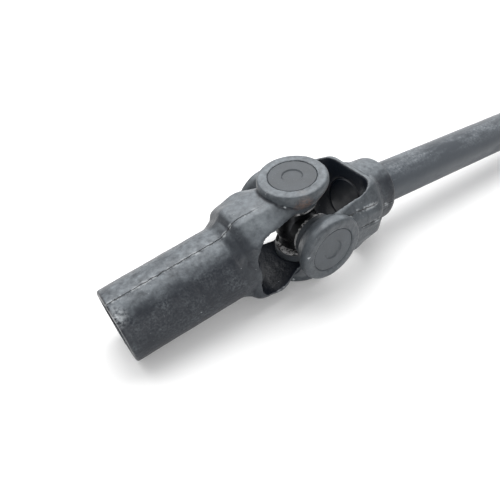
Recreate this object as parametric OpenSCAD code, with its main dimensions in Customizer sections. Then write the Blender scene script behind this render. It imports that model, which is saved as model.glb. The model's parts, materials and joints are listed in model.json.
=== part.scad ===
// Front drive shaft: a splined hub yoke, a needle-bearing universal joint and a solid shaft.
// It lies on a flat surface with the joint bent: the rim of the hub, one ear and the far end
// of the shaft touch the surface. The origin is the centre of the hub's open end.

/* [Universal joint] */
// Outside diameter of each bearing cup
cup_d = 20; // [17:0.5:23]
// Wall of each ear around its cup
ear_wall = 4.6; // [4:0.1:5.6]
// Thickness of each ear along its trunnion
ear_t = 9.2; // [8:0.1:10.5]
// Gap between the ears of one yoke and the inside faces of the other
ear_gap = 0.6; // [0.3:0.1:1.5]
// How far each cup's face lies below the face of its ear
cup_recess = 0.3; // [0.1:0.05:0.6]
// How far each cup's mouth stands out of the inside face of its ear
cup_stand = 3.1; // [2.5:0.1:3.6]
// Wall of a drawn cup
cup_wall = 2.1; // [1.6:0.1:2.4]
// Floor of a drawn cup
cup_floor = 2; // [1.5:0.1:2.4]
// Diameter of the round dimple in each cup's face
dimple_d = 8.8; // [6:0.2:11]
// Depth of the dimple in each cup's face
dimple_t = 0.5; // [0.2:0.1:0.9]
// Diameter of a needle roller
needle_d = 2.2; // [1.8:0.1:2.6]
// Thickness of the plastic thrust washer under each cup's floor
washer_t = 0.8; // [0.5:0.1:1.2]
// Height of the rubber seal's collar outside the cup
seal_t = 1.4; // [1:0.1:1.8]
// Depth of the seal's lip inside the cup
seal_lip = 1; // [0.6:0.1:1.4]

/* [Forked ends] */
// Rise of each arm's crowned back above the inside face of its ear
arm_rise = 6; // [5.4:0.1:7]
// Width of each arm where it meets its ear
neck_w = 24.4; // [23:0.2:26]
// Height of the round pad at each ear's outer face, above the ear's tapered body
pad_t = 3.6; // [2.6:0.1:4.6]
// Wall of each ear's tapered body around its cup, at the inside face
body_wall = 1.4; // [1.2:0.1:2.4]
// Width of the fork at its root
fork_w = 33; // [31:0.5:35]
// Half width of the gently crowned land along each arm's back
ridge_half = 6; // [4:0.5:9]
// Angle at which each arm's back slopes down beside that land
arm_slope = 33; // [26:0.5:36]
// Rounding of the root's corners
root_round = 4; // [2:0.25:5]
// Rounding of each ear's outer rim
rim_round = 1.5; // [0.8:0.1:2]
// Joint centre to the shoulder where the fork starts to close
shoulder_x = 29; // [28:0.2:31]
// Joint centre to the bottom of the hub yoke's window
hub_crotch = 30.4; // [28.4:0.2:31]
// Joint centre to the bottom of the shaft yoke's window
shaft_crotch = 29; // [28.4:0.2:31]
// Rounding of the window's inner corners
window_round = 7.5; // [5:0.25:10]
// Rounding of the fork's shoulder, outside and where it runs out into the hub
shoulder_r = 5; // [4:0.25:6]

/* [Hub] */
// Joint centre to the hub's open end
hub_len = 85.8; // [78:0.2:100]
// Hub diameter at its open end
hub_end_d = 30.5; // [29:0.25:34]
// Hub diameter where it joins the fork
hub_root_d = 32; // [30.5:0.25:34]
// Diameter of the plain bore at the hub's mouth
mouth_d = 22.4; // [21:0.2:24]
// Depth of the plain bore at the hub's mouth
mouth_t = 8; // [5:0.5:12]
// Length of the splined bore
spline_len = 34; // [24:1:36]
// Number of spline teeth in the hub
hub_teeth = 18; // [12:1:24]
// Height of a spline tooth
tooth_h = 1.1; // [0.7:0.1:1.4]
// Thickness of the domed expansion plug that closes the bore behind the fork
plug_t = 1.6; // [1:0.1:2.2]
// Rise of the expansion plug's dome
plug_dome = 1.2; // [0.6:0.1:1.4]

/* [Shaft] */
// Diameter of the solid shaft
rod_d = 20; // [18:0.25:22]
// Joint centre to the far end of the shaft
rod_len = 500; // [360:10:700]
// Diameter of the boss that holds the shaft
boss_d = 30; // [28:0.25:32]
// Joint centre to the end face of the boss
boss_end = 47; // [44:0.5:54]
// Rounding of the boss's rim
boss_round = 2; // [1:0.25:3]
// Height of the weld around the shaft
weld_t = 2.2; // [1.2:0.1:3]
// Length of the splined stub at the far end
stub_len = 40; // [25:1:60]
// Diameter of the pilot nose at the far end
nose_d = 14; // [11:0.5:16]
// Length of the pilot nose at the far end
nose_len = 12; // [6:1:18]

/* [Hidden] */
$fn = 96;
eps = 0.01;
slice_t = 0.05;
forged = "#33373c";
machined = "#6b7074";
bright = "#a7abb0";
rubber = "#1b1c1e";
nylon = "#d8d2bf";

// Running clearance of the needles, the seal's lip and the thrust washer
needle_play = 0.04;
run_gap = 0.05;
// Clearance between neighbouring needles, along and around the trunnion
needle_end_gap = 0.1;
// Edge breaks on turned pieces
edge_break = 0.5;
fine_break = 0.3;
// How far a cut runs past the face it leaves by, and how far the shoulder's run-out ends
// below the surface it runs into
over = 1;
sink = 0.4;
// Steps in radius: cross shoulder over trunnion, plug over bore, mouth over bore, rod over stub
shoulder_step = 2;
plug_step = 1;
mouth_step = 0.2;
stub_step = 0.5;
// Web left between the bottom of the hub yoke's window and the far face of the plug
plug_back = 3;
// How far the body of the cross stays below its shoulders, and the seal inside its cup's rim
body_inset = 1;
seal_inset = 0.4;

// The joint, measured along a trunnion from the joint's centre
cup_r = cup_d / 2;
ear_r = cup_r + ear_wall;
ear_in = ear_r + ear_gap;
ear_face = ear_in + ear_t;
cup_face = ear_face - cup_recess;
cup_mouth = ear_in - cup_stand;
floor_under = cup_face - cup_floor;
cup_in_r = cup_r - cup_wall;
washer_in = floor_under - washer_t;
trunnion_end = washer_in - run_gap;
trunnion_r = cup_in_r - needle_d - needle_play;
seal_base = cup_mouth - seal_t;
lip_end = cup_mouth + seal_lip;
shoulder_z = seal_base - run_gap;
shoulder_rad = trunnion_r + shoulder_step;
needle_from = lip_end + needle_end_gap;
needle_to = washer_in - needle_end_gap;
pitch_r = trunnion_r + (needle_d + needle_play) / 2;
needle_count = floor(180 / asin((needle_d + needle_play) / 2 / pitch_r));

// The forks
arm_back = ear_in + arm_rise;
fork_half = fork_w / 2;
neck_half = neck_w / 2;
ridge_drop = 0.4;
corner_z = arm_back - ridge_drop - (fork_half - ridge_half) * tan(arm_slope);
corner_rad = norm([fork_half, corner_z]);
neck_x = ear_r - 2;
arm_from = 4;

// Resting position: the hub's rim and one ear touch the surface, and so does the shaft's stub
stub_r = rod_d / 2 - stub_step;
touch_r = ear_r - rim_round;
rest_tilt = atan((ear_face - hub_end_d / 2) / (hub_len - touch_r));
joint_h = hub_len * sin(rest_tilt) + hub_end_d / 2 * cos(rest_tilt);
stub_end = rod_len - nose_len;
rod_tilt = asin((joint_h - stub_r) / (stub_end - edge_break));

// Places

// From the joint's centre, with +X along the hub's axis away from its mouth, to the resting place
module hub_side() {
    rotate([0, -rest_tilt, 0]) translate([hub_len, 0, 0]) children();
}

// From the joint's centre, with +X along the solid shaft, to the resting place
module shaft_side() {
    translate([hub_len * cos(rest_tilt), 0, hub_len * sin(rest_tilt)])
        rotate([0, rod_tilt, 0]) children();
}

// Turns a piece made along +Z onto one of the four trunnions of the cross
module on_top() { hub_side() children(); }
module on_bottom() { hub_side() rotate([180, 0, 0]) children(); }
module on_front() { hub_side() rotate([90, 0, 0]) children(); }
module on_rear() { hub_side() rotate([-90, 0, 0]) children(); }

// Points of an arc
function arc(c, r, from, to, n = 8) =
    [for (i = [0:n]) let (a = from + (to - from) * i / n) c + r * [cos(a), sin(a)]];

// Turned from an outline of [radius, height] points
module turned(points) { rotate_extrude() polygon(points); }

// The forging that both yokes share: ears on Z, root towards +X

// A quarter of the fork's outline across the shaft: crowned land, sloping side, rounded
// corner. inset shrinks it all round
function quarter(half, inset) = let (
    land_y = ridge_half - inset * tan(arm_slope / 2),
    round_y = half - inset - root_round,
    slope_z = function (y) arm_back - ridge_drop - (y - ridge_half) * tan(arm_slope)
        - inset / cos(arm_slope))
    concat(
        arc([round_y, slope_z(round_y) - root_round / cos(arm_slope)], root_round,
            0, 90 - arm_slope, 4),
        [[land_y, slope_z(land_y)]]);

// A thin slice of the fork at x
module slice(x, half, inset = 0) {
    right = quarter(half, inset);
    left = [for (i = [len(right) - 1:-1:0]) [-right[i][0], right[i][1]]];
    back = concat(right, [[0, arm_back - inset]], left);
    translate([x, 0, 0]) rotate([90, 0, 90]) linear_extrude(slice_t)
        polygon(concat(back, [for (p = back) -p]));
}

// One ear: a tapered body under a round pad
module ear() {
    turned(concat(
        [[0, ear_in], [cup_r + body_wall, ear_in], [ear_r, ear_face - pad_t]],
        arc([ear_r - rim_round, ear_face - rim_round], rim_round, 0, 90, 6),
        [[0, ear_face]]));
}

// Half width of the fork at x, from the ears to the shoulder
function half_at(x) =
    neck_half + (fork_half - neck_half) * (x - neck_x) / (shoulder_x - neck_x);

// The solid fork before its window and bores are cut; root_r is the radius of what carries it
module fork_blank(root_r) {
    bend = acos(1 - (corner_rad - root_r) / (2 * shoulder_r));
    end_x = shoulder_x + shoulder_r * sin(bend);
    end_inset = shoulder_r * (1 - cos(bend));
    hull() {
        slice(arm_from, half_at(arm_from));
        for (i = [0:4]) let (a = bend * i / 4)
            slice(shoulder_x + shoulder_r * sin(a), fork_half, shoulder_r * (1 - cos(a)));
    }
    // Run-out of the shoulder
    hull() {
        slice(end_x, fork_half, end_inset);
        translate([end_x + shoulder_r * sin(bend), 0, 0]) rotate([0, 90, 0])
            cylinder(h = slice_t, r = root_r - sink, $fn = 48);
    }
    for (turn = [0, 180]) rotate([turn, 0, 0]) ear();
}

// The window between the two arms, open towards the joint
module window(crotch_x) {
    reach = 2 * ear_r;
    rotate([90, 0, 0]) translate([0, 0, -2 * fork_half]) linear_extrude(4 * fork_half) {
        translate([-reach, -ear_in]) square([reach + crotch_x - window_round, 2 * ear_in]);
        translate([-reach, window_round - ear_in])
            square([reach + crotch_x, 2 * (ear_in - window_round)]);
        for (s = [-1, 1]) translate([crotch_x - window_round, s * (ear_in - window_round)])
            circle(window_round);
    }
}

// Bores for the two cups, with a small edge break at each outer face
module cup_bores() {
    for (turn = [0, 180]) rotate([turn, 0, 0]) {
        cylinder(h = ear_face + over, r = cup_r);
        translate([0, 0, ear_face - fine_break])
            cylinder(h = fine_break + eps, r1 = cup_r, r2 = cup_r + fine_break + eps);
    }
}

module fork(root_r, crotch_x) {
    difference() {
        fork_blank(root_r);
        window(crotch_x);
        cup_bores();
    }
}

// Spline teeth: count straight-sided teeth between two radii along Z
module teeth(count, r_in, r_out, length, width) {
    intersection() {
        cylinder(h = length, r = r_out);
        for (i = [0:count - 1]) rotate([0, 0, i * 360 / count])
            translate([r_in, -width / 2, 0]) cube([r_out - r_in + over, width, length]);
    }
}

// Hub yoke

mouth_r = mouth_d / 2;
bore_r = mouth_r - mouth_step;
tooth_w = PI * bore_r / hub_teeth;
plug_r = bore_r + plug_step;
plug_seat = hub_crotch + plug_back;
bore_from = hub_len - mouth_t - spline_len;

// Tapered outside of the hub, along Z from the joint's centre
module hub_barrel() {
    turned([[0, shoulder_x], [hub_root_d / 2, shoulder_x],
        [hub_end_d / 2, hub_len - edge_break], [hub_end_d / 2 - edge_break, hub_len],
        [0, hub_len]]);
}

// What is cut out of the hub: splined bore, plain mouth and seat of the plug
module hub_bore() {
    difference() {
        cylinder(h = hub_len, r = bore_r);
        for (i = [0:hub_teeth - 1]) rotate([0, 0, i * 360 / hub_teeth])
            translate([bore_r - tooth_h, -tooth_w / 2, bore_from])
                cube([2 * tooth_h, tooth_w, hub_len]);
    }
    translate([0, 0, hub_len - mouth_t]) cylinder(h = mouth_t + over, r = mouth_r);
    cylinder(h = plug_seat, r = plug_r);
}

module hub_yoke() color(forged) hub_side() rotate([0, 0, 180]) {
    difference() {
        union() {
            fork(hub_root_d / 2, hub_crotch);
            rotate([0, 90, 0]) hub_barrel();
        }
        rotate([0, 90, 0]) hub_bore();
    }
}

// Domed expansion plug pressed into the bore behind the fork
module hub_plug() color(machined) hub_side() rotate([0, 0, 180]) rotate([0, 90, 0])
    translate([0, 0, plug_seat]) {
        dome_r = (bore_r * bore_r + plug_dome * plug_dome) / (2 * plug_dome);
        rise = asin(bore_r / dome_r);
        turned(concat(
            arc([0, dome_r - plug_dome], dome_r, -90, rise - 90, 6),
            [[plug_r, 0], [plug_r, -plug_t]],
            arc([0, dome_r - plug_dome - plug_t], dome_r, rise - 90, -90, 6)));
    }

// Shaft yoke

module shaft_yoke() color(forged) shaft_side() rotate([90, 0, 0]) {
    boss_r = boss_d / 2;
    difference() {
        union() {
            fork(boss_r, shaft_crotch);
            rotate([0, 90, 0]) turned(concat(
                [[0, shoulder_x + over], [boss_r, shoulder_x + over]],
                arc([boss_r - boss_round, boss_end - boss_round], boss_round, 0, 90, 6),
                [[0, boss_end]]));
        }
        rotate([0, 90, 0]) cylinder(h = boss_end + over, r = rod_d / 2);
    }
}

module drive_shaft() color(forged) shaft_side() rotate([0, 90, 0]) {
    rod_r = rod_d / 2;
    root_r = stub_r - tooth_h;
    nose_r = nose_d / 2;
    turned([[0, shaft_crotch], [rod_r - edge_break, shaft_crotch],
        [rod_r, shaft_crotch + edge_break], [rod_r, stub_end - stub_len - edge_break],
        [root_r, stub_end - stub_len + tooth_h], [root_r, stub_end], [nose_r, stub_end],
        [nose_r, rod_len - edge_break], [nose_r - edge_break, rod_len], [0, rod_len]]);
    translate([0, 0, stub_end - stub_len])
        teeth(hub_teeth, root_r - edge_break, stub_r, stub_len, tooth_w);
}

module weld_bead() color(forged) shaft_side() rotate([0, 90, 0])
    turned([[rod_d / 2, boss_end], [rod_d / 2 + weld_t, boss_end], [rod_d / 2, boss_end + weld_t]]);

// Cross and bearings

module trunnion() {
    turned([[0, 0], [shoulder_rad, 0], [shoulder_rad, shoulder_z - edge_break],
        [shoulder_rad - edge_break, shoulder_z], [trunnion_r, shoulder_z],
        [trunnion_r, trunnion_end - edge_break], [trunnion_r - edge_break, trunnion_end],
        [0, trunnion_end]]);
}

module cross() color(machined) hub_side() {
    for (turn = [0, 90, 180, 270]) rotate([turn, 0, 0]) trunnion();
    sphere(shoulder_z - body_inset);
}

module cup() {
    turned([[0, floor_under], [cup_in_r, floor_under], [cup_in_r, cup_mouth],
        [cup_r - fine_break, cup_mouth], [cup_r, cup_mouth + fine_break],
        [cup_r, cup_face - fine_break], [cup_r - fine_break, cup_face],
        [dimple_d / 2, cup_face], [dimple_d / 2 - dimple_t, cup_face - dimple_t],
        [0, cup_face - dimple_t]]);
}

module needles() {
    for (i = [0:needle_count - 1]) rotate([0, 0, i * 360 / needle_count])
        translate([pitch_r, 0, needle_from])
            cylinder(h = needle_to - needle_from, r = needle_d / 2, $fn = 24);
}

module seal() {
    lip_r = trunnion_r + run_gap;
    rim_r = cup_r - seal_inset;
    turned([[lip_r, seal_base], [rim_r - fine_break, seal_base],
        [rim_r, seal_base + fine_break], [rim_r, cup_mouth], [cup_in_r, cup_mouth],
        [cup_in_r, lip_end],
        [lip_r, lip_end]]);
}

module washer() {
    translate([0, 0, washer_in]) cylinder(h = washer_t, r = cup_in_r - run_gap);
}

module cup_top() color(machined) on_top() cup();
module cup_bottom() color(machined) on_bottom() cup();
module cup_front() color(machined) on_front() cup();
module cup_rear() color(machined) on_rear() cup();
module needles_top() color(bright) on_top() needles();
module needles_bottom() color(bright) on_bottom() needles();
module needles_front() color(bright) on_front() needles();
module needles_rear() color(bright) on_rear() needles();
module seal_top() color(rubber) on_top() seal();
module seal_bottom() color(rubber) on_bottom() seal();
module seal_front() color(rubber) on_front() seal();
module seal_rear() color(rubber) on_rear() seal();
module washer_top() color(nylon) on_top() washer();
module washer_bottom() color(nylon) on_bottom() washer();
module washer_front() color(nylon) on_front() washer();
module washer_rear() color(nylon) on_rear() washer();

hub_yoke();
hub_plug();
shaft_yoke();
drive_shaft();
weld_bead();
cross();
cup_top();
cup_bottom();
cup_front();
cup_rear();
needles_top();
needles_bottom();
needles_front();
needles_rear();
seal_top();
seal_bottom();
seal_front();
seal_rear();
washer_top();
washer_bottom();
washer_front();
washer_rear();
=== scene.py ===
"""Looks of a front drive shaft: painted forged yokes, bearings, shaft and a studio."""

import json
import math

import bmesh
import bpy
from bpy.props import FloatProperty, FloatVectorProperty, IntProperty, PointerProperty
from bpy.types import Operator, Panel, PropertyGroup
from mathutils import Euler, Matrix, Vector, noise


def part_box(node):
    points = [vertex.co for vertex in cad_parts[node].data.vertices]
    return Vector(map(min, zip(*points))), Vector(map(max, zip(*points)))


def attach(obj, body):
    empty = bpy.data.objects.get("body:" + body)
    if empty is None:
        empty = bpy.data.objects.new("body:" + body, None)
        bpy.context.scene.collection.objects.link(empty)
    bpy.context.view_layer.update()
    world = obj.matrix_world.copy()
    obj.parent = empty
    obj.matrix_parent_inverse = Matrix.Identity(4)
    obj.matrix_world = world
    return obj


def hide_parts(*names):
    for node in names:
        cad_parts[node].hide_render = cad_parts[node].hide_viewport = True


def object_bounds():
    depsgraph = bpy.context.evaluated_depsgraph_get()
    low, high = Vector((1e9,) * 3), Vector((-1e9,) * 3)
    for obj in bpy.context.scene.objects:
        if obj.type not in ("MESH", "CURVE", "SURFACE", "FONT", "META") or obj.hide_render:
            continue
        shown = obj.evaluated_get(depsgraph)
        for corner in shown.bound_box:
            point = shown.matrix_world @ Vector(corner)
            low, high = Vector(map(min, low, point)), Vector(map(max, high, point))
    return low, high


bl_info = {
    "name": "Front drive shaft looks",
    "version": (1, 0, 0),
    "blender": (4, 5, 0),
    "location": "3D View > Sidebar > Drive shaft",
    "description": "Forged yokes, bearings and shaft of a front drive shaft, with a studio",
    "category": "Object",
}

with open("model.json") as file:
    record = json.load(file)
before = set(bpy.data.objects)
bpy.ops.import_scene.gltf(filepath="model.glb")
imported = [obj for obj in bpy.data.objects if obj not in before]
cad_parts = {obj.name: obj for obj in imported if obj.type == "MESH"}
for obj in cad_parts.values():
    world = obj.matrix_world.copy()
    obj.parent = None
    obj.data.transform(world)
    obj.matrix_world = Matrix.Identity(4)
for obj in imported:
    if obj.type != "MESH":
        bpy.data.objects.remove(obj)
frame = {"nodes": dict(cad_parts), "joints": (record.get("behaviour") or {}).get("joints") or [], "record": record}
CAD_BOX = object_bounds()
MM = 0.001

JOINTS = {joint["name"]: joint for joint in frame["joints"]}
MOUNTS = {mount["name"]: mount for mount in frame["record"]["mounts"]}
JOINT_CENTRE = Vector(JOINTS["cross_swing"]["pos_m"])
EARS = ("top", "bottom", "front", "rear")


def placed(along, across):
    """Matrix of the joint centre with X along one vector and Y along another."""
    x = Vector(along).normalized()
    y = Vector(across).normalized()
    z = x.cross(y)
    turn = Matrix((x, y, z)).transposed().to_4x4()
    return Matrix.Translation(JOINT_CENTRE) @ turn


# Each side's own axes at the joint: X runs down the shaft on the shaft's side, and away from
# the mouth on the hub's side, so that the hub lies at negative X
HUB_PLACE = placed(JOINT_CENTRE, (0, 1, 0))
SHAFT_PLACE = placed(MOUNTS["shaft_nose"]["axis"], (0, 1, 0))
HUB_LENGTH = JOINT_CENTRE.length

# The stretch of each arm that has a full side, from the joint, and where that side starts
ARM_FROM = 8 * MM
ARM_TO = 31 * MM
ARM_RIDGE = 6 * MM
# Skin that leans outward by more than this is the arm's back, and rises by this share of
# the side's fullness
BACK_LEAN = 0.2
BACK_RISE = 0.7

# The hub's dies met in a plane turned a little to the front from the plane of its ears
PARTING_TURN = math.radians(9)
FLASH_WIDTH = 0.7 * MM
# The flash was ground off the ears, this far from the joint
EAR_REACH = 27 * MM

# Millimetres across the waves of the skin, the ripples on them and the tears in the flash
WAVE_MM = 9
RIPPLE_MM = 3.5
TEAR_MM = 4

# Radii of the cups' seats and of the hub's bore, which are machined
CUP_R = (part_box("cup_front")[1].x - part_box("cup_front")[0].x) / 2
BORE_R = MOUNTS["hub_bore"]["dims"]["r_mm"] * MM


def srgb(code):
    """An sRGB hex colour as linear red, green and blue."""
    parts = [int(code[i : i + 2], 16) / 255 for i in (1, 3, 5)]
    return [c / 12.92 if c <= 0.04045 else ((c + 0.055) / 1.055) ** 2.4 for c in parts]


def between(one, other, share):
    """A colour that lies between two others."""
    return [a + share * (b - a) for a, b in zip(one, other)]


def per(size_mm):
    """A texture's scale from the size of its pattern in millimetres."""
    return 1 / (size_mm * MM)


def add(tree, kind, inputs=None, **settings):
    """Adds a node with its settings; an input's value may be another node's socket."""
    node = tree.nodes.new(kind)
    for name, value in settings.items():
        setattr(node, name, value)
    for name, value in (inputs or {}).items():
        if isinstance(value, bpy.types.NodeSocket):
            tree.links.new(value, node.inputs[name])
        else:
            node.inputs[name].default_value = value
    return node


class YokeSettings(PropertyGroup):
    """Sizes and colours of the two forgings."""

    mesh_size: FloatProperty(
        name="Mesh size",
        description="Size of the even faces that carry the forging's soft edges",
        default=0.46 * MM,
        unit="LENGTH",
    )
    softening: IntProperty(
        name="Softening",
        description="Rounds of smoothing that round the forging's edges",
        default=7,
    )
    waviness: FloatProperty(
        name="Waviness",
        description="Height of the uneven skin that the die and scale leave",
        default=0.09 * MM,
        unit="LENGTH",
    )
    flash_height: FloatProperty(
        name="Flash height",
        description="How far the torn flash stands along the line where the dies met",
        default=0.25 * MM,
        unit="LENGTH",
    )
    fullness: FloatProperty(
        name="Full side",
        description="How much wider each arm is on the side where the die was worn",
        default=1.8 * MM,
        unit="LENGTH",
    )
    paint: FloatVectorProperty(
        name="Paint",
        description="Black semi-gloss paint over the forging",
        subtype="COLOR",
        default=srgb("#12171f"),
    )
    # Grey film, also laid as a painted sheen on the paint
    film_and_sheen: FloatVectorProperty(
        name="Haze",
        description="Thin grey film where the paint is rubbed and dusty",
        subtype="COLOR",
        default=srgb("#6c7276"),
    )
    # Pale dust on the upward side, which also stands as a painted highlight there
    dust: FloatVectorProperty(
        name="Dust",
        description="Dry, pale bloom on the side that lay upward",
        subtype="COLOR",
        default=srgb("#72787d"),
    )
    # Bare steel, which on convex edges also stands as a painted highlight
    bare: FloatVectorProperty(
        name="Worn edges",
        description="Steel that shows through at rubbed edges",
        subtype="COLOR",
        default=srgb("#a4a8ab"),
    )
    # The die line's colour is painted shade in the line's groove
    shadow: FloatVectorProperty(
        name="Die line",
        description="Dirt in the line that the dies left",
        subtype="COLOR",
        default=srgb("#101214"),
    )
    rust: FloatVectorProperty(
        name="Rust",
        description="Light rust beside the bearings",
        subtype="COLOR",
        default=srgb("#8a6a58"),
    )


class ShaftSettings(PropertyGroup):
    """Finish of the solid shaft."""

    paint: FloatVectorProperty(
        name="Paint",
        description="Black paint over the drawn bar",
        subtype="COLOR",
        default=srgb("#3b4046"),
    )
    # A darker paint on the shaft's end inside the fork, as painted shade
    end: FloatVectorProperty(
        name="Hidden end",
        description="Clean black paint on the shaft's end inside the fork",
        subtype="COLOR",
        default=srgb("#12171f"),
    )
    # The scuff colour also gives the painted highlight on the shaft's top and, doubled, its painted glints
    scuff: FloatVectorProperty(
        name="Scuffs",
        description="Pale scuffs along the shaft",
        subtype="COLOR",
        default=srgb("#8b9196"),
    )


class BearingSettings(PropertyGroup):
    """Colours of the bearing cups, the cross and what they hold."""

    cup: FloatVectorProperty(
        name="Cup",
        description="Thin dark paint over a drawn steel cup",
        subtype="COLOR",
        default=srgb("#3d4145"),
    )
    steel: FloatVectorProperty(
        name="Hardened steel",
        description="Cross and plug, darkened by heat treatment and oil",
        subtype="COLOR",
        default=srgb("#3a3b3d"),
    )
    roller: FloatVectorProperty(
        name="Rollers",
        description="Ground bearing steel",
        subtype="COLOR",
        default=srgb("#b4b6b8"),
    )
    rubber: FloatVectorProperty(
        name="Seals",
        description="Nitrile rubber",
        subtype="COLOR",
        default=srgb("#17181a"),
    )
    nylon: FloatVectorProperty(
        name="Washers",
        description="Natural nylon",
        subtype="COLOR",
        default=srgb("#d8cfb8"),
    )


class StudioSettings(PropertyGroup):
    """Camera, lamps and floor."""

    camera_place: FloatVectorProperty(
        name="Camera",
        description="Where the camera stands",
        subtype="TRANSLATION",
        unit="LENGTH",
        default=(-0.02262, -0.12395, 0.13659),
    )
    camera_turn: FloatVectorProperty(
        name="Camera turn",
        description="Which way the camera looks",
        subtype="EULER",
        unit="ROTATION",
        default=[math.radians(a) for a in (48.9235, 1.2171, -35.0594)],
    )
    lens: FloatProperty(
        name="Lens",
        description="Focal length in millimetres over a 36 mm wide sensor",
        default=34.189,
    )
    lamp_height: FloatProperty(
        name="Softbox height",
        description="Height of the softbox above the object",
        default=0.55,
        unit="LENGTH",
    )
    floor: FloatVectorProperty(
        name="Floor",
        description="White paper sweep",
        subtype="COLOR",
        default=srgb("#f4f4f4"),
    )


def settings():
    """The sizes and colours that the panel shows."""
    return bpy.context.scene.drive_shaft


# Finishes

# Share of the usual reflection that the thin, dull enamel gives
PAINT_SHINE = 0.3


def start_material(name):
    """An empty material with Object coordinates, and its shader."""
    material = bpy.data.materials.new(name)
    material.use_nodes = True
    tree = material.node_tree
    tree.nodes.clear()
    place = add(tree, "ShaderNodeTexCoord").outputs["Object"]
    shader = add(tree, "ShaderNodeBsdfPrincipled")
    add(tree, "ShaderNodeOutputMaterial", {"Surface": shader.outputs["BSDF"]})
    return material, tree, place, shader


def lay(tree, under, over, *masks):
    """Lays a colour over another one where all the masks meet."""
    share = masks[0]
    for mask in masks[1:]:
        share = add(
            tree, "ShaderNodeMath", {0: share, 1: mask}, operation="MULTIPLY"
        ).outputs["Value"]
    if not isinstance(under, bpy.types.NodeSocket):
        under = (*under, 1)
    # The Mix node has sockets of the same names for each kind of value, so they go by
    # number: 0 is the share, 6 and 7 are the two colours, and output 2 is the mixed one
    inputs = {0: share, 6: under, 7: (*over, 1)}
    return add(tree, "ShaderNodeMix", inputs, data_type="RGBA").outputs[2]


def patches(tree, place, size_mm, start, end, detail=4, roughness=0.6):
    """Blotches of a size: 0 below start and 1 above end of a noise's value."""
    cloud = add(
        tree,
        "ShaderNodeTexNoise",
        {"Vector": place, "Scale": per(size_mm), "Detail": detail, "Roughness": roughness},
    )
    return add(
        tree,
        "ShaderNodeMapRange",
        {"Value": cloud.outputs["Fac"], "From Min": start, "From Max": end},
    ).outputs["Result"]


def facing(tree, direction, start, end):
    """1 where the skin faces a direction of the object, such as up, where dust settles and a painted highlight
    goes.
    """
    normal = add(tree, "ShaderNodeTexCoord").outputs["Normal"]
    share = add(
        tree, "ShaderNodeVectorMath", {0: normal, 1: direction}, operation="DOT_PRODUCT"
    ).outputs["Value"]
    return add(
        tree,
        "ShaderNodeMapRange",
        {"Value": share, "From Min": start, "From Max": end},
        interpolation_type="SMOOTHSTEP",
    ).outputs["Result"]


def outward(tree, place):
    """1 where the skin faces away from the joint, and 0 inside a fork, where the paint is left dark as a painted
    shade."""
    away = add(
        tree, "ShaderNodeVectorMath", {0: place, 1: JOINT_CENTRE}, operation="SUBTRACT"
    ).outputs["Vector"]
    way = add(tree, "ShaderNodeVectorMath", {0: away}, operation="NORMALIZE").outputs["Vector"]
    normal = add(tree, "ShaderNodeTexCoord").outputs["Normal"]
    share = add(
        tree, "ShaderNodeVectorMath", {0: normal, 1: way}, operation="DOT_PRODUCT"
    ).outputs["Value"]
    return add(
        tree,
        "ShaderNodeMapRange",
        {"Value": share, "From Min": -0.1, "From Max": 0.12},
    ).outputs["Result"]


def edges_and_creases(tree, from_value, to_value):
    """1 on convex edges, where handling rubs the paint through, or in creases, where dark paint is laid as painted
    shade, if the second value is the lower one."""
    # About 0.5 on flat skin, more on an edge and less in a crease
    shape = add(tree, "ShaderNodeNewGeometry").outputs["Pointiness"]
    return add(
        tree,
        "ShaderNodeMapRange",
        {"Value": shape, "From Min": from_value, "From Max": to_value},
    ).outputs["Result"]


def spot(tree, place, centre, none_mm, full_mm=0):
    """1 at one distance from a point of the object, falling to 0 at another."""
    away = add(
        tree, "ShaderNodeVectorMath", {0: place, 1: centre}, operation="DISTANCE"
    ).outputs["Value"]
    return add(
        tree,
        "ShaderNodeMapRange",
        {"Value": away, "From Min": none_mm * MM, "From Max": full_mm * MM},
    ).outputs["Result"]


def seam(tree, place, normal, offset_mm, half_mm):
    """1 along a slightly ragged line where a plane beside the joint centre meets the
    surface, falling to 0 over the line's half width."""
    level = Vector(normal).dot(JOINT_CENTRE) + offset_mm * MM
    stray = 0.8 * MM
    height = add(
        tree, "ShaderNodeVectorMath", {0: place, 1: normal}, operation="DOT_PRODUCT"
    ).outputs["Value"]
    ragged = add(
        tree,
        "ShaderNodeTexNoise",
        {"Vector": place, "Scale": per(2.5), "Detail": 3, "Roughness": 0.6},
    ).outputs["Fac"]
    wander = add(
        tree,
        "ShaderNodeMapRange",
        {"Value": ragged, "To Min": -level - stray, "To Max": -level + stray},
    ).outputs["Result"]
    off = add(tree, "ShaderNodeMath", {0: height, 1: wander}, operation="ADD").outputs["Value"]
    away = add(tree, "ShaderNodeMath", {0: off}, operation="ABSOLUTE").outputs["Value"]
    return add(
        tree,
        "ShaderNodeMapRange",
        {"Value": away, "From Min": half_mm * MM, "From Max": 0},
    ).outputs["Result"]


def set_sheen(tree, shader, share, glossy, dull):
    """Takes the finish from one roughness to a duller one as a mask rises."""
    level = add(tree, "ShaderNodeMapRange", {"Value": share, "To Min": glossy, "To Max": dull})
    tree.links.new(level.outputs["Result"], shader.inputs["Roughness"])


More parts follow.
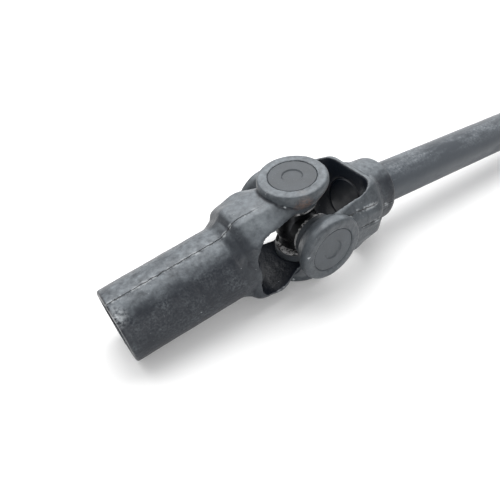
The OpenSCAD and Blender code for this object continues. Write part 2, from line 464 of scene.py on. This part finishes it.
def set_relief(tree, shader, place, layers, grooves=()):
    """Chains bump layers of (size in mm, height in mm, strength), then a groove of 0.3 mm
    where both masks of a line meet."""
    normal = None
    for size_mm, height_mm, strength in layers:
        cloud = add(
            tree,
            "ShaderNodeTexNoise",
            {"Vector": place, "Scale": per(size_mm), "Detail": 3, "Roughness": 0.55},
        )
        inputs = {
            "Height": cloud.outputs["Fac"],
            "Distance": height_mm * MM,
            "Strength": strength,
        }
        if normal:
            inputs["Normal"] = normal
        normal = add(tree, "ShaderNodeBump", inputs).outputs["Normal"]
    for line, near in grooves:
        inputs = {"Height": line, "Strength": near, "Distance": 0.3 * MM, "Normal": normal}
        normal = add(tree, "ShaderNodeBump", inputs, invert=True).outputs["Normal"]
    tree.links.new(normal, shader.inputs["Normal"])


def lay_mark(tree, place, under, centre, reach_mm, grain_mm, tint):
    """Lays crumbs of a colour over the finish, round a place."""
    crumbs = patches(tree, place, grain_mm, 0.38, 0.62)
    return lay(tree, under, tint, spot(tree, place, centre, reach_mm), crumbs)


def lay_die_line(tree, place, under, outside, plane, centre, reach_mm):
    """Lays painted shade along the groove of a line that the dies left within reach of a place, with torn bare
    steel beside it. Its plane holds a normal, the distance from the joint and the line's half width in mm. It
    gives the finish, and the line's two masks for its groove."""
    look = settings().yokes
    normal, offset_mm, half_mm = plane
    near = spot(tree, place, centre, reach_mm, reach_mm * 0.85)
    beside = seam(tree, place, normal, offset_mm, half_mm * 3)
    torn = patches(tree, place, 3, 0.5, 0.6)
    steel = lay(tree, under, look.bare, beside, near, outside, torn)
    # Painted shade in the die line's groove
    line = seam(tree, place, normal, offset_mm, half_mm)
    patchy_shade = patches(tree, place, 5, 0.3, 0.42)
    return lay(tree, steel, look.shadow, line, near, outside, patchy_shade), (line, near)


def forging_paint(name, handled_mm, dust_and_highlight_side, lines, marks):
    """Black enamel sprayed over a scaled hot forging: it keeps the scale's grain, looks satin where it is thick,
    and grey where hands have rubbed it near the joint. Grey film with a painted sheen, and dust with a painted
    highlight on the upward side, lie outside the forks; creases, the forks' insides and the die lines get painted
    shade, and convex edges get bare chips that also stand as a painted highlight. Lines and marks hold what
    lay_die_line and lay_mark ask for."""
    look = settings().yokes
    material, tree, place, shader = start_material(name)
    # Film, dust and die lines stay off the forks' insides, which keeps them dark as painted shade
    outside = outward(tree, place)
    # Patches of grey film, which also stand as a painted sheen on the paint
    film_and_sheen = patches(tree, place, 9, 0.42, 0.66)
    grain = patches(tree, place, 0.9, 0.4, 0.66)
    worn = between(look.paint, look.film_and_sheen, 0.35)
    colour = lay(tree, look.paint, worn, film_and_sheen, grain, outside)
    handled = spot(tree, place, JOINT_CENTRE, none_mm=handled_mm, full_mm=handled_mm - 14)
    film = between(look.paint, look.film_and_sheen, 0.4)
    colour = lay(tree, colour, film, handled, outside, patches(tree, place, 3, 0.1, 0.6))
    # Dust on the upward side, which is also a painted highlight where the overhead lamp lights the top
    dusty = facing(tree, dust_and_highlight_side, 0.7, 1)
    cloud = patches(tree, place, 2.4, 0.1, 0.7)
    colour = lay(tree, colour, look.dust, dusty, outside, cloud, patches(tree, place, 9, 0.2, 0.5))
    # Painted shade: the dark paint again in the creases
    colour = lay(tree, colour, look.paint, edges_and_creases(tree, 0.497, 0.48))
    # Bare steel at chipped convex edges, which also stands as painted highlights on the rims
    chips_and_edge_highlights = patches(tree, place, 2.2, 0.5, 0.56)
    colour = lay(tree, colour, look.bare, edges_and_creases(tree, 0.53, 0.6), chips_and_edge_highlights)
    flecks = patches(tree, place, 1.1, 0.69, 0.72)
    colour = lay(tree, colour, look.bare, flecks, patches(tree, place, 16, 0.48, 0.6))
    for mark in marks:
        colour = lay_mark(tree, place, colour, **mark)
    grooves = []
    for line in lines:
        colour, groove = lay_die_line(tree, place, colour, outside, **line)
        grooves.append(groove)
    tree.links.new(colour, shader.inputs["Base Color"])
    set_sheen(tree, shader, film_and_sheen, 0.36, 0.5)
    shader.inputs["Specular IOR Level"].default_value = PAINT_SHINE
    relief = [(8, 0.6, 0.6), (1.8, 0.3, 0.7), (0.5, 0.1, 0.6)]
    set_relief(tree, shader, place, relief, grooves)
    return material


def bar_paint(name, dust_and_highlight_side):
    """Black enamel over a smooth drawn bar: even and glossier, with long pale scuffs on its top that also stand as
    a painted highlight there, painted glints, and painted shade on the end inside the fork.
    """
    look = settings().shaft
    material, tree, place, shader = start_material(name)
    tilt = MOUNTS["shaft_nose"]["axis"]
    along = add(
        tree,
        "ShaderNodeMapping",
        {"Vector": place, "Rotation": (0, math.atan2(tilt[2], tilt[0]), 0), "Scale": (0.3, 1, 1)},
        vector_type="POINT",
    ).outputs["Vector"]
    # Scuffs lie on the shaft's top only, where they also stand as a painted highlight
    top = facing(tree, dust_and_highlight_side, 0.1, 0.9)
    scuffs = patches(tree, along, 7, 0.42, 0.66)
    colour = lay(tree, look.paint, look.scuff, scuffs, top, patches(tree, place, 1.2, 0.3, 0.7))
    # Painted glints: small pale specks on the shaft's top
    painted_glints = patches(tree, along, 1.6, 0.68, 0.71)
    pale = [min(1, 2 * c) for c in look.scuff]
    colour = lay(tree, colour, pale, painted_glints, top, patches(tree, place, 14, 0.45, 0.6))
    # The end that shows inside the fork is painted as dark as the fork, a painted shade
    inside = spot(tree, place, JOINT_CENTRE, none_mm=36, full_mm=34)
    colour = lay(tree, colour, look.end, inside)
    tree.links.new(colour, shader.inputs["Base Color"])
    set_sheen(tree, shader, scuffs, 0.28, 0.5)
    shader.inputs["Specular IOR Level"].default_value = PAINT_SHINE
    set_relief(tree, shader, place, [(9, 0.3, 0.35), (1.3, 0.04, 0.5)])
    return material


def cup_paint(name):
    """The same black, thin over a drawn steel cup: smooth and satin, with fine specks."""
    look = settings().bearings
    material, tree, place, shader = start_material(name)
    cloud = patches(tree, place, 5, 0.35, 0.75)
    colour = lay(tree, look.cup, [c * 1.4 for c in look.cup], cloud)
    specks = patches(tree, place, 0.7, 0.64, 0.69)
    colour = lay(tree, colour, [c * 2.2 for c in look.cup], specks)
    tree.links.new(colour, shader.inputs["Base Color"])
    set_sheen(tree, shader, cloud, 0.4, 0.5)
    shader.inputs["Specular IOR Level"].default_value = PAINT_SHINE
    set_relief(tree, shader, place, [(3, 0.08, 0.5), (0.7, 0.03, 0.5)])
    return material


def oiled_steel(name, colour, roughness):
    """Hardened steel with an oily film: a dark metal with soft, cloudy shine."""
    material, tree, place, shader = start_material(name)
    film = patches(tree, place, 4, 0.4, 0.7)
    oily = lay(tree, colour, [c * 0.6 for c in colour], film)
    tree.links.new(oily, shader.inputs["Base Color"])
    shader.inputs["Metallic"].default_value = 1
    set_sheen(tree, shader, film, roughness, roughness + 0.2)
    set_relief(tree, shader, place, [(1.5, 0.02, 0.4)])
    return material


def moulded(name, colour, roughness, speck_mm):
    """Moulded rubber or nylon: matte, with a faint cloud of dust or pigment, and scuffed
    pale along its edges."""
    material, tree, place, shader = start_material(name)
    cloud = patches(tree, place, speck_mm, 0.4, 0.75)
    pale = [min(1, c * 1.5 + 0.01) for c in colour]
    clouded = lay(tree, colour, pale, cloud)
    scuffed = between(colour, (1, 1, 1), 0.35)
    torn = patches(tree, place, speck_mm, 0.46, 0.54)
    clouded = lay(tree, clouded, scuffed, edges_and_creases(tree, 0.52, 0.56), torn)
    tree.links.new(clouded, shader.inputs["Base Color"])
    shader.inputs["Roughness"].default_value = roughness
    set_relief(tree, shader, place, [(speck_mm, 0.02, 0.4)])
    return material


def dress(node, material):
    """Gives a CAD node or a new piece its finish."""
    piece = frame["nodes"][node] if isinstance(node, str) else node
    piece.data.materials.clear()
    piece.data.materials.append(material)


# Forgings


def forged_copy(node, name):
    """An evenly and finely meshed copy of a CAD node, whose edges can be softened."""
    look = settings().yokes
    mesh = frame["nodes"][node].data.copy()
    if mesh.has_custom_normals:
        mesh.attributes.remove(mesh.attributes["custom_normal"])
    # A CAD node's triangles are loose, so their corners are joined before it is remeshed
    merged = bmesh.new()
    merged.from_mesh(mesh)
    bmesh.ops.remove_doubles(merged, verts=merged.verts, dist=look.mesh_size / 200)
    merged.to_mesh(mesh)
    merged.free()
    rough = bpy.data.objects.new(name, mesh)
    bpy.context.collection.objects.link(rough)
    even = rough.modifiers.new("Even mesh", "REMESH")
    even.mode = "VOXEL"
    even.voxel_size = look.mesh_size
    depsgraph = bpy.context.evaluated_depsgraph_get()
    fine = bpy.data.meshes.new_from_object(rough.evaluated_get(depsgraph))
    rough.modifiers.clear()
    rough.data = fine
    rough.data.name = name
    return rough


def soften(piece, is_machined):
    """Rounds the edges of a forging, but not where a machined surface is."""
    look = settings().yokes
    skin = bmesh.new()
    skin.from_mesh(piece.data)
    forged = [v for v in skin.verts if not is_machined(v.co)]
    for _ in range(look.softening):
        bmesh.ops.smooth_vert(
            skin, verts=forged, factor=0.5, use_axis_x=True, use_axis_y=True, use_axis_z=True
        )
    skin.to_mesh(piece.data)
    skin.free()
    piece.data.update()


def bump(value, start, end):
    """0 outside a stretch and 1 at its middle, smoothly."""
    share = min(1, max(0, (value - start) / (end - start)))
    return math.sin(math.pi * share) ** 2


def fill_arms(piece, place, along, across, up):
    """Widens one side of each arm beside its ear. The axes are the yoke's own, from its
    joint, and the other arm is the same one turned half round."""
    look = settings().yokes
    to_local = place.inverted()
    turn = place.to_3x3()
    skin = bmesh.new()
    skin.from_mesh(piece.data)
    skin.normal_update()
    for vert in skin.verts:
        local = to_local @ vert.co
        x, y, z = local.dot(along), local.dot(across), local.dot(up)
        arm = math.copysign(1, z)
        side = -y * arm
        if side <= ARM_RIDGE or abs(z) < ARM_RIDGE:
            continue
        share = min(1, (side - ARM_RIDGE) / ARM_RIDGE) * bump(x, ARM_FROM, ARM_TO)
        shift = -arm * across * look.fullness
        if vert.normal.dot(turn @ up) * arm > BACK_LEAN:
            shift += arm * up * look.fullness * BACK_RISE
        vert.co += turn @ shift * share
    skin.to_mesh(piece.data)
    skin.free()
    piece.data.update()


def roughen(piece, is_machined, flash_normal):
    """Moves a forging's skin along its normals, as worn dies and scale leave it, with a
    torn flash standing along the plane where the dies met."""
    look = settings().yokes
    skin = bmesh.new()
    skin.from_mesh(piece.data)
    skin.normal_update()
    for vert in skin.verts:
        if not is_machined(vert.co):
            wave = noise.noise(vert.co * per(WAVE_MM))
            wave += 0.5 * noise.noise(vert.co * per(RIPPLE_MM))
            from_joint = vert.co - JOINT_CENTRE
            away = abs(from_joint.dot(flash_normal))
            torn = max(0, 0.6 + noise.noise(vert.co * per(TEAR_MM)))
            flash = max(0, 1 - away / FLASH_WIDTH) * torn * look.flash_height
            if from_joint.length < EAR_REACH:
                flash = 0
            vert.co += vert.normal * (look.waviness * wave + flash)
            # The ears' faces are ground flat, so no skin stands past the solid ones
            vert.co.y = min(max(vert.co.y, CAD_BOX[0].y), CAD_BOX[1].y)
            vert.co.z = min(vert.co.z, CAD_BOX[1].z)
    skin.to_mesh(piece.data)
    skin.free()
    piece.data.update()


def shade_smooth(piece):
    """Shades a piece as one rounded skin."""
    for face in piece.data.polygons:
        face.use_smooth = True


class DRIVESHAFT_OT_hub_yoke(Operator):
    """Forge the hub yoke with soft edges, a flash line and rough black paint"""

    bl_idname = "driveshaft.hub_yoke"
    bl_label = "Hub yoke"

    def execute(self, context):
        look = settings().yokes
        to_local = HUB_PLACE.inverted()
        hub_from = -0.4 * HUB_LENGTH

        def is_machined(point):
            local = to_local @ point
            in_bore = math.hypot(local.y, local.z) < BORE_R + 2 * look.mesh_size
            in_cup = math.hypot(local.x, local.y) < CUP_R + look.mesh_size / 2
            return (in_bore and local.x < hub_from) or (in_cup and abs(local.z) > CUP_R)

        yoke = forged_copy("hub_yoke", "hub_forging")
        soften(yoke, is_machined)
        along, across, up = Vector((-1, 0, 0)), Vector((0, -1, 0)), Vector((0, 0, 1))
        fill_arms(yoke, HUB_PLACE, along, across, up)
        turned = Matrix.Rotation(PARTING_TURN, 3, "X") @ Vector((0, 1, 0))
        parting = HUB_PLACE.to_3x3() @ turned
        roughen(yoke, is_machined, parting)
        shade_smooth(yoke)
        # The origin is the middle of the mouth, from which the line runs to the arms
        mouth = Vector()
        lines = [dict(plane=(parting, 0, 0.4), centre=mouth, reach_mm=74)]
        rubbed_slope = HUB_PLACE @ Vector((-0.023, -0.008, 0.020))
        chipped_rim = HUB_PLACE @ Vector((-0.085, -0.008, 0.0130))
        left_of_cup = HUB_PLACE @ Vector((-0.004, -0.011, 0.020))
        right_of_cup = HUB_PLACE @ Vector((0.006, -0.011, 0.018))
        marks = [
            dict(centre=rubbed_slope, reach_mm=8, grain_mm=5, tint=look.film_and_sheen),
            dict(centre=chipped_rim, reach_mm=5, grain_mm=1.2, tint=look.bare),
            dict(centre=left_of_cup, reach_mm=5, grain_mm=0.9, tint=look.rust),
            dict(centre=right_of_cup, reach_mm=5, grain_mm=0.9, tint=look.rust),
        ]
        # The upward side takes the dust and its painted highlight
        dusty = HUB_PLACE.to_3x3() @ up
        dress(yoke, forging_paint("black enamel on hub forging", 42, dusty, lines, marks))
        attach(yoke, "hub_side")
        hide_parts("hub_yoke")
        return {"FINISHED"}


class DRIVESHAFT_OT_shaft_yoke(Operator):
    """Forge the shaft yoke with soft edges, a flash line and rough black paint"""

    bl_idname = "driveshaft.shaft_yoke"
    bl_label = "Shaft yoke"

    def execute(self, context):
        look = settings().yokes
        to_local = SHAFT_PLACE.inverted()

        def is_machined(point):
            local = to_local @ point
            in_cup = math.hypot(local.x, local.z) < CUP_R + look.mesh_size / 2
            return in_cup and abs(local.y) > CUP_R

        yoke = forged_copy("shaft_yoke", "shaft_forging")
        soften(yoke, is_machined)
        along, across, up = Vector((1, 0, 0)), Vector((0, 0, 1)), Vector((0, -1, 0))
        fill_arms(yoke, SHAFT_PLACE, along, across, up)
        # The dies closed from above and below, and one's edge left a crease by the shoulder
        upward = SHAFT_PLACE.to_3x3() @ Vector((0, 0, 1))
        roughen(yoke, is_machined, upward)
        shade_smooth(yoke)
        arm = SHAFT_PLACE @ Vector((0.034, -0.018, 0.0015))
        shoulder = SHAFT_PLACE @ Vector((0.0195, -0.018, 0.0088))
        lines = [
            dict(plane=(upward, 1.5, 0.4), centre=arm, reach_mm=17),
            dict(plane=(upward, 8.8, 0.4), centre=shoulder, reach_mm=10),
        ]
        chipped_edge = SHAFT_PLACE @ Vector((0.031, -0.012, 0.009))
        marks = [dict(centre=chipped_edge, reach_mm=5, grain_mm=1.2, tint=look.bare)]
        # Dust and a painted highlight go on the upward side
        dress(yoke, forging_paint("black enamel on shaft forging", 46, upward, lines, marks))
        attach(yoke, "shaft_side")
        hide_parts("shaft_yoke")
        return {"FINISHED"}


class DRIVESHAFT_OT_shaft(Operator):
    """Paint the solid shaft and its weld"""

    bl_idname = "driveshaft.shaft"
    bl_label = "Shaft"

    def execute(self, context):
        # The shaft's top side, which takes the scuffs with their painted highlight and the painted glints
        up = SHAFT_PLACE.to_3x3() @ Vector((0, 0.4, 0.92))
        paint = bar_paint("black enamel on drawn bar", up)
        dress("drive_shaft", paint)
        dress("weld_bead", paint)
        return {"FINISHED"}


class DRIVESHAFT_OT_bearings(Operator):
    """Finish the cross, the cups and all that they hold"""

    bl_idname = "driveshaft.bearings"
    bl_label = "Cross and bearings"

    def execute(self, context):
        look = settings().bearings
        finishes = {
            "cup": cup_paint("thin black on drawn steel cup"),
            "needles": oiled_steel("ground bearing steel", look.roller, 0.25),
            "seal": moulded("black nitrile rubber", look.rubber, 0.7, 1.5),
            "washer": moulded("natural nylon", look.nylon, 0.5, 3),
        }
        for ear in EARS:
            for kind, finish in finishes.items():
                dress(f"{kind}_{ear}", finish)
        dark_steel = oiled_steel("oiled hardened steel", look.steel, 0.35)
        dress("cross", dark_steel)
        dress("hub_plug", dark_steel)
        return {"FINISHED"}


# Studio


def softbox(name, place, aim, size, power):
    """A square lamp that stands at one place and shines at another."""
    lamp = bpy.data.lights.new(name, "AREA")
    lamp.size = size
    lamp.energy = power
    obj = bpy.data.objects.new(name, lamp)
    obj.location = place
    obj.rotation_euler = (aim - Vector(place)).to_track_quat("-Z", "Y").to_euler()
    bpy.context.collection.objects.link(obj)


def seen_white(tree):
    """1 for rays that show a background: the camera's, glossy and transmitted ones."""
    path = add(tree, "ShaderNodeLightPath")
    glossy = add(
        tree,
        "ShaderNodeMath",
        {0: path.outputs["Is Camera Ray"], 1: path.outputs["Is Glossy Ray"]},
        operation="MAXIMUM",
    ).outputs["Value"]
    return add(
        tree,
        "ShaderNodeMath",
        {0: glossy, 1: path.outputs["Is Transmission Ray"]},
        operation="MAXIMUM",
    ).outputs["Value"]


class DRIVESHAFT_OT_studio(Operator):
    """Set up the white sweep, the softboxes and the camera"""

    bl_idname = "driveshaft.studio"
    bl_label = "Studio"

    def execute(self, context):
        look = settings().studio
        self.make_floor(look)
        self.make_world()
        aim = JOINT_CENTRE
        up = look.lamp_height
        softbox("overhead softbox", (0.20, 0.20, up), aim, size=0.6, power=4.2)
        softbox("back softbox", (-0.20, 0.45, up), aim, size=0.5, power=1.2)
        softbox("low front softbox", (-0.15, -0.60, up / 4), aim, size=0.4, power=1.6)
        camera = bpy.data.cameras.new("photo camera")
        camera.sensor_width = 36
        camera.lens = look.lens
        camera.clip_start = 0.01
        eye = bpy.data.objects.new("photo camera", camera)
        eye.location = look.camera_place
        eye.rotation_euler = Euler(look.camera_turn)
        bpy.context.collection.objects.link(eye)
        bpy.context.scene.camera = eye
        bpy.context.scene.view_settings.view_transform = "Standard"
        return {"FINISHED"}

    def make_floor(self, look):
        sheet = bmesh.new()
        bmesh.ops.create_grid(sheet, x_segments=1, y_segments=1, size=3)
        bmesh.ops.translate(sheet, verts=sheet.verts, vec=(0, 0, CAD_BOX[0].z))
        mesh = bpy.data.meshes.new("floor")
        sheet.to_mesh(mesh)
        sheet.free()
        floor = bpy.data.objects.new("floor", mesh)
        bpy.context.collection.objects.link(floor)
        material = bpy.data.materials.new("white paper sweep")
        material.use_nodes = True
        tree = material.node_tree
        tree.nodes.clear()
        paper = add(tree, "ShaderNodeBsdfDiffuse", {"Color": (*look.floor, 1)})
        # The sweep whitens away from the object, where the lamps no longer reach
        place = add(tree, "ShaderNodeTexCoord").outputs["Object"]
        middle = (CAD_BOX[0] + CAD_BOX[1]) / 2
        away = add(
            tree, "ShaderNodeVectorMath", {0: place, 1: middle}, operation="DISTANCE"
        ).outputs["Value"]
        whiter = {"Value": away, "From Min": 0.35, "From Max": 1.6, "To Min": 0.1, "To Max": 0.5}
        most = add(tree, "ShaderNodeMapRange", whiter).outputs["Result"]
        inputs = {0: seen_white(tree), 1: most}
        lift = add(tree, "ShaderNodeMath", inputs, operation="MULTIPLY").outputs["Value"]
        glow = add(tree, "ShaderNodeEmission", {"Color": (1, 1, 1, 1), "Strength": lift})
        shaders = {0: paper.outputs["BSDF"], 1: glow.outputs["Emission"]}
        both = add(tree, "ShaderNodeAddShader", shaders).outputs["Shader"]
        add(tree, "ShaderNodeOutputMaterial", {"Surface": both})
        floor.data.materials.append(material)

    def make_world(self):
        world = bpy.data.worlds.new("white studio")
        bpy.context.scene.world = world
        world.use_nodes = True
        tree = world.node_tree
        tree.nodes.clear()
        level = add(
            tree,
            "ShaderNodeMapRange",
            {"Value": seen_white(tree), "To Min": 0.6, "To Max": 1.0},
        ).outputs["Result"]
        sky = add(tree, "ShaderNodeBackground", {"Color": (1, 1, 1, 1), "Strength": level})
        add(tree, "ShaderNodeOutputWorld", {"Surface": sky.outputs["Background"]})


# Add-on


class DriveShaftSettings(PropertyGroup):
    """All settings of the drive shaft."""

    yokes: PointerProperty(type=YokeSettings)
    shaft: PointerProperty(type=ShaftSettings)
    bearings: PointerProperty(type=BearingSettings)
    studio: PointerProperty(type=StudioSettings)


STEPS = (
    DRIVESHAFT_OT_hub_yoke,
    DRIVESHAFT_OT_shaft_yoke,
    DRIVESHAFT_OT_shaft,
    DRIVESHAFT_OT_bearings,
    DRIVESHAFT_OT_studio,
)


class DRIVESHAFT_PT_steps(Panel):
    """Lists the pieces of the drive shaft"""

    bl_label = "Front drive shaft"
    bl_space_type = "VIEW_3D"
    bl_region_type = "UI"
    bl_category = "Drive shaft"

    def draw(self, context):
        for step in STEPS:
            self.layout.operator(step.bl_idname)
        for group in (settings().yokes, settings().shaft, settings().bearings, settings().studio):
            box = self.layout.box()
            for name in group.__annotations__:
                box.prop(group, name)


CLASSES = (
    YokeSettings,
    ShaftSettings,
    BearingSettings,
    StudioSettings,
    DriveShaftSettings,
    *STEPS,
    DRIVESHAFT_PT_steps,
)


def register():
    for made in CLASSES:
        bpy.utils.register_class(made)
    bpy.types.Scene.drive_shaft = PointerProperty(type=DriveShaftSettings)


def unregister():
    del bpy.types.Scene.drive_shaft
    for made in reversed(CLASSES):
        bpy.utils.unregister_class(made)


def main():
    register()
    for step in STEPS:
        group, name = step.bl_idname.split(".")
        getattr(getattr(bpy.ops, group), name)()


if __name__ == "__main__":
    main()
